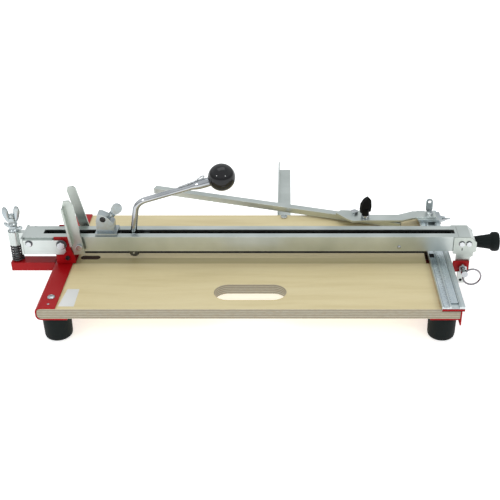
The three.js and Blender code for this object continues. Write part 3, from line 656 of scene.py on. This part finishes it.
# ------------------------------------------------------------------ rail
def rail():
    """The slotted rail with its cheeks, end plates, bolts, painted shade and the lift knob."""
    eased("rail", ALUMINIUM, 0.45, 3)
    for node in ("cheek_front", "cheek_rear"):
        eased(node, ALUMINIUM, 0.35)
    for node in ("end_plate_front", "end_plate_rear"):
        eased(node, UPRIGHT_PAINTED_SHADE_ALUMINIUM, 0.35)
    eased("tension_barrel", ALUMINIUM, 0.4)
    eased("rail_end_cap", ALUMINIUM, 0.8, 3)
    # Dark rings under the rail's bolt heads are painted contact shadow:
    # [x, z, radius, side face, thickness].
    bolt_shadows = []
    for x, z, radius, face, thick in (
            (311, PIVOT_Z, 4.7, 19.8, 0.28), (321.5, PIVOT_Z, 4.7, 19.8, 0.28),
            (-326.5, 36.8, 5.6, 22.4, 0.28), (PIVOT_X, PIVOT_Z, 7.7, 22.4, 0.55)):
        ring = [(1, face), (radius, face), (radius, face + thick), (1, face + thick)]
        bolt_shadows.append(turning(ring, (x, 0, z), "y", sides=40))
        bolt_shadows.append(placed(turning(ring, (0, 0, 0), "y", sides=40), (0, 0, 180), (x, 0, z)))
    piece("rail_bolt_painted_shadows", bolt_shadows, CARBIDE_AND_PAINTED_SHADE, "rail")
    for node in ("cheek_bolt", "end_bolt_inner", "end_bolt_outer", "knob_stud", "lever_pin"):
        eased(node, STEEL, 0.35)
    # Black sheets inside the rail, clear of the carriage, are painted shade that keeps the slot
    # dark.
    walls = [block((-330, side * 13.82 - 0.14, 24.1), (300, side * 13.82 + 0.14, 41.9))
        for side in (-1, 1)]
    floors = [block((-330, side * 10 - 3.8, 24.02), (300, side * 10 + 3.8, 24.2))
        for side in (-1, 1)]
    piece("rail_slot_painted_shade", walls + floors, INK_AND_PAINTED_SHADE, "rail")
    head = turning([(0.2, 0), (2.7, 0), (2.7, 0.4), (2.2, 1.2), (1.2, 1.6), (0.2, 1.7)],
        (0, 0, 0), sides=28)
    screw = placed(head, (90, 0, 0), (218.8, -RAIL_Y, 28.1))
    piece("rail_side_screw", [screw], STEEL, "rail")
    mark = plate(rounded_box(1.3, 4.4, 0.6) + [312, 25.5], -19.9, -19.7, "y")
    piece("end_plate_mark", [mark], INK_AND_PAINTED_SHADE, "rail")
    # The lift knob: a fluted cone with a round rim, turned about the rail's length.
    grip = [
        (7.2, 0), (7.9, 0.5), (8.3, 2), (8.6, 4, 1), (9.2, 8, 1), (10.0, 14, 1), (10.9, 20, 1),
        (11.4, 23, 1), (11.9, 24.6)]
    rim = [
        (13.4, 25.6), (14.3, 27.2), (14.6, 29.4), (14.6, 33), (14.2, 34.9), (13.0, 36.4),
        (10.6, 37.1), (7.6, 36.6), (0.4, 36.4)]
    knob = turning([(0.4, 0)] + grip + rim, (332.5, 0, 28), "x", sides=96, flutes=16, depth=0.55)
    piece("lift_knob_fluted", [knob], RUBBER, "rail", ("lift_knob",), smooth=50)


# ------------------------------------------------------------------ scoring carriage
def lever_path():
    """Straight up from the pin, a quarter bend as a quadratic curve, and straight to the ball."""
    foot, bend_in = np.array([LEVER_PIN[0], LEVER_PIN[2]], float), np.array([-169.0, 82.0])
    bend_top, bend_out = np.array([-166.5, 92.0]), np.array([-155.0, 97.0])
    tip = np.array([-49.0, 130.0])
    t = np.linspace(0, 1, 24)[:, None]
    bend = (1 - t) ** 2 * bend_in + 2 * t * (1 - t) * bend_top + t ** 2 * bend_out
    line = np.linspace(foot, bend_in, 12)[:-1]
    run = np.linspace(bend_out, tip, 24)[1:]
    flat = np.concatenate([line, bend, run])
    return np.stack([flat[:, 0], np.zeros(len(flat)), flat[:, 1]], axis=-1)


def carriage():
    """The carriage and its wheel, and the bent lever with its hub, neck, wire clip and ball."""
    eased("carriage_block", BLACK, 0.6, 3)
    eased("wheel_fork", CARBIDE_AND_PAINTED_SHADE, 0.5, 3)
    eased("wheel_axle", STEEL, 0.3)
    path = lever_path()
    hub = turning([(3.2, -4.8), (7.0, -4.8), (7.4, -4.4), (7.4, 4.4), (7.0, 4.8), (3.2, 4.8)],
        LEVER_PIN, "y")
    neck = tube(path[-9:], [4.6, 5.6, 6.6, 6.9, 6.9, 6.9, 6.7, 6.2, 5.6], (0, 1, 0), 32)
    low_end, high_end = WHEEL_X - 5, WHEEL_X + 5
    tang = plate([(low_end, 19.5), (high_end, 19.5), (high_end, 33), (low_end, 33)], -4.8, 4.8, "y")
    bar = tube(path, 4.6, (0, 1, 0), 32)
    piece("cutting_lever_bar", [bar, hub, tang, neck], CHROME, "lever",
        ("cutting_lever",), smooth=45)
    # A wire clip lies along the lever and turns back in a loop below the ball.
    along = unit(np.array([106.0, 0, 33.0]))
    over = np.array([-along[2], 0, along[0]])
    start = np.array([-104.0, 0, 112.9])
    share = np.linspace(0, 1, 60)
    run = np.interp(share, [0, 0.42, 0.5, 0.58, 1], [0, 40, 44, 40, 14])
    rise = np.interp(share, [0, 0.3, 0.42, 0.5, 0.58, 0.8, 1], [5.4, 7, 12.4, 10.5, 7.4, 6.2, 5.2])
    wire = start + run[:, None] * along + rise[:, None] * over
    wire[:, 1] = np.interp(share, [0, 0.5, 1], [-1.6, 0, 1.6])
    kernel = np.ones(7) / 7
    padded = np.concatenate([np.repeat(wire[:1], 3, 0), wire, np.repeat(wire[-1:], 3, 0)])
    smooth_wire = np.stack([np.convolve(padded[:, k], kernel, "valid") for k in range(3)], axis=-1)
    piece("lever_clip", [tube(smooth_wire, 1.0, (0, 1, 0), 10)], STEEL, "lever", smooth=60)
    # The ball: a sphere about the lever's line, flattened where the lever enters.
    tilt = math.degrees(math.atan2(33, 106))
    angle = np.linspace(math.radians(2), math.radians(161), 60)
    arc = np.stack([BALL_RADIUS * np.sin(angle), BALL_RADIUS * np.cos(angle)], axis=-1)
    ball = arc.tolist() + [(5.2, -19.2), (4.7, -18.6)]
    shell = placed(turning(ball, (0, 0, 0), sides=96), (0, 90 - tilt, 0), BALL)
    piece("ball_knob_gloss", [shell], BLACK, "lever", ("ball_knob",), smooth=60)
    rim = [(2, -1.5), (5.6, -1.5), (6.2, -1.15), (8, 0), (6.2, 1.15), (5.6, 1.5), (2, 1.5), (2, 0)]
    wheel = turning(rim, (WHEEL_X, 0, 10.5), "y", sides=72)
    piece("scoring_wheel_ground", [wheel], CARBIDE_AND_PAINTED_SHADE, "wheel", ("scoring_wheel",),
        smooth=20)


def stop_and_breaker():
    """The travel stop with its plug and thumb screw, and the breaker's two angle arms."""
    eased("travel_stop", ZINC, 1.1, 3)
    plug = [(0.1, -8.3), (3.6, -8.3), (4.3, -7.7), (4.3, 7.7), (3.6, 8.3), (0.1, 8.3)]
    piece("stop_plug", [turning(plug, (-217.5, 0, 69), "y", sides=36)], BLACK, "stop")
    eased("stop_thumb_screw", ZINC, 0.9, 3)
    for node in ("breaker_arm_front", "breaker_arm_rear"):
        eased(node, UPRIGHT_PAINTED_SHADE_ALUMINIUM, 0.5, 3)
    eased("breaker_pin", STEEL, 0.5)


# ------------------------------------------------------------------ ruler, slide and fence
def tick(y, length, width=0.28):
    """One raised engraving line on the scale, as a thin block."""
    return block((275.6 - length, y - width / 2, 8.13), (275.6, y + width / 2, 8.19))


def ruler_and_fence():
    """The ruler with its lip, scale and marks and a patch of painted shade, the slide with its nut,
    and the mitre fence.
    """
    eased("ruler", CROSSWISE, 0.35)
    # A thin black patch on the scale near the rail is painted shade for a hole there.
    piece("ruler_painted_shade_patch", [plate(rounded_box(7, 10, 1) + [270, -8], 8.1, 8.5)], INK_AND_PAINTED_SHADE, "base")
    # The red lip that closes the front end of the ruler, joined to the channel's flange.
    lip = [
        block((265.8, -147.7, 0.9), (297, -147.2, 4.2)),
        block((265.8, -147.7, 0.9), (297, -138.6, 1.5))]
    piece("ruler_end_lip", lip, RED, "base")
    eased("ruler_scale", SCALE_STEEL, 0.15)
    eased("ruler_slide_strip", SCALE_STEEL, 0.3)
    # Long marks each 10 mm, middling ones at the fives between, short ones at the other evens.
    marks = [tick(y, 5.4 if y % 10 == 0 else 3.8 if y % 5 == 0 else 2.2)
        for y in range(-144, 137) if y % 5 == 0 or y % 2 == 0]
    piece("scale_marks", marks, INK_AND_PAINTED_SHADE, "base")
    edge = [block((278.85, y - 0.2, 7.19), (280.1, y + 0.2, 7.24))
        for y in np.arange(-132, 56, 5.0)]
    piece("strip_marks", edge, INK_AND_PAINTED_SHADE, "base")
    eased("fence_slide", ZINC, 0.6, 3)
    eased("fence_arm", ALUMINIUM, 0.7, 3)
    for node in ("arm_bolt", "fence_pivot_bolt", "slide_screw", "support_pivot_bolt"):
        eased(node, STEEL, 0.4)
    eased("slide_lock_lever", ZINC, 0.5, 3)
    nut = moved(wing_nut(5.6, 7, 2.7, wing(12, 14, 3.2, 3.4, 3.4, 3.6)),
        ((0, 0, 60), (0, 0, 0)), ((0, 90, 0), (300.9, 112, 6.6)))
    piece("slide_wing_nut_cast", nut, ZINC, "slide_nut", ("slide_wing_nut",), smooth=50)
    eased("mitre_fence", ALUMINIUM, 0.3)
    eased("fence_clamp_knob", MATT_BLACK, 1.6, 5)
    eased("clamp_collar", CHROME, 0.5, 3)
    eased("support_arm", ALUMINIUM, 0.4)


def rail_lock():
    """The lug, bushing and pin, a tab below them, and the pull ring: a wire round a circle."""
    eased("lock_lug", RED, 0.4)
    eased("lock_bushing", STEEL, 0.6, 3)
    eased("lock_pin", STEEL, 0.7, 3)
    angle = np.linspace(0, 2 * np.pi, 96, endpoint=False)
    reach = 13
    circle = np.stack(
        [reach * np.cos(angle) + reach, np.zeros_like(angle), reach * np.sin(angle)], axis=-1)
    ring = placed(tube(circle, 1.35, (0, 1, 0), 14, ring=True), (0, 27, 0), (314, -43.5, -1.5))
    piece("pull_ring_wire", [ring], RING_STEEL, "ring", ("pull_ring",), smooth=60)
    tab = plate(rounded_box(12, 20, 1.2) + [313.5, -19], -25.6, -23.5, "y")
    piece("lock_tab", [tab], ALUMINIUM, "base", rounding=0.3)
    # A thin black disc on the tab's face is painted shade standing for a hole.
    hole = turning([(0.1, 0), (2.3, 0), (2.3, 0.3), (0.1, 0.3)], (0, 0, 0), sides=32)
    hole = placed(hole, (90, 0, 0), (313, -25.5, -23.6))
    piece("lock_tab_painted_hole_shade", [hole], INK_AND_PAINTED_SHADE, "base")


# ------------------------------------------------------------------ floor, light and camera
def studio():
    """A pale floor, a soft grey-white sky by height, three area lights and the camera."""
    floor = bpy.data.meshes.new("floor")
    half, level = 25, FLOOR_Z * MM - 0.0002
    corners = [(-half, -half, level), (half, -half, level), (half, half, level),
        (-half, half, level)]
    floor.from_pydata(corners, [], [(0, 1, 2, 3)])
    ground = bpy.data.objects.new("floor", floor)
    bpy.context.scene.collection.objects.link(ground)
    pale = material("pale floor", Roughness=0.9, Base_Color=(0.85, 0.85, 0.85, 1),
        Emission_Color=(1, 1, 1, 1), Emission_Strength=0.56)[0]
    floor.materials.append(pale)
    world = bpy.data.worlds.new("studio")
    world.use_nodes = True
    tree = world.node_tree
    height = put(tree, "SeparateXYZ", {0: put(tree, "TexCoord").outputs["Generated"]}).outputs["Z"]
    sky = ramp(tree, sums(tree, "MULTIPLY_ADD", height, 0.5, 0.5), [
        (0.0, 0.3), (0.5, 0.62), (0.58, (0.44, 0.45, 0.455)), (0.7, (0.86, 0.89, 0.9)),
        (1.0, (0.84, 0.87, 0.89))])
    tree.links.new(sky, tree.nodes["Background"].inputs[0])
    bpy.context.scene.world = world
    lamps = [
        ("overhead", (-0.1, 0.3, 1.9), (1.6, 0.9), 6),
        ("left_box", (-1.55, -1.5, 1.35), (0.3, 0.3), 5),
        ("right_box", (1.35, -1.6, 1.35), (0.3, 0.3), 6),
    ]
    for name, place, size, power in lamps:
        data = bpy.data.lights.new(name, "AREA")
        data.shape = "RECTANGLE"
        data.size, data.size_y = size
        data.energy = power
        lamp = bpy.data.objects.new(name, data)
        bpy.context.scene.collection.objects.link(lamp)
        lamp.location = place
        aim = -(lamp.location - lamp.location.__class__((0, 0, 0.05)))
        lamp.rotation_euler = aim.to_track_quat("-Z", "Y").to_euler()
    view = bpy.data.cameras.new("camera")
    view.lens = 64.73
    view.sensor_width = 36
    view.shift_x = -0.076
    view.clip_end = 30
    eye = bpy.data.objects.new("camera", view)
    bpy.context.scene.collection.objects.link(eye)
    eye.location = (0.0545, -1.172, 0.6898)
    eye.rotation_euler = (math.radians(60), 0, 0)
    bpy.context.scene.camera = eye
    bpy.context.scene.view_settings.view_transform = "Standard"


beds()
base_fasteners()
feet()
pivot_and_tension()
rail()
carriage()
stop_and_breaker()
ruler_and_fence()
rail_lock()
studio()
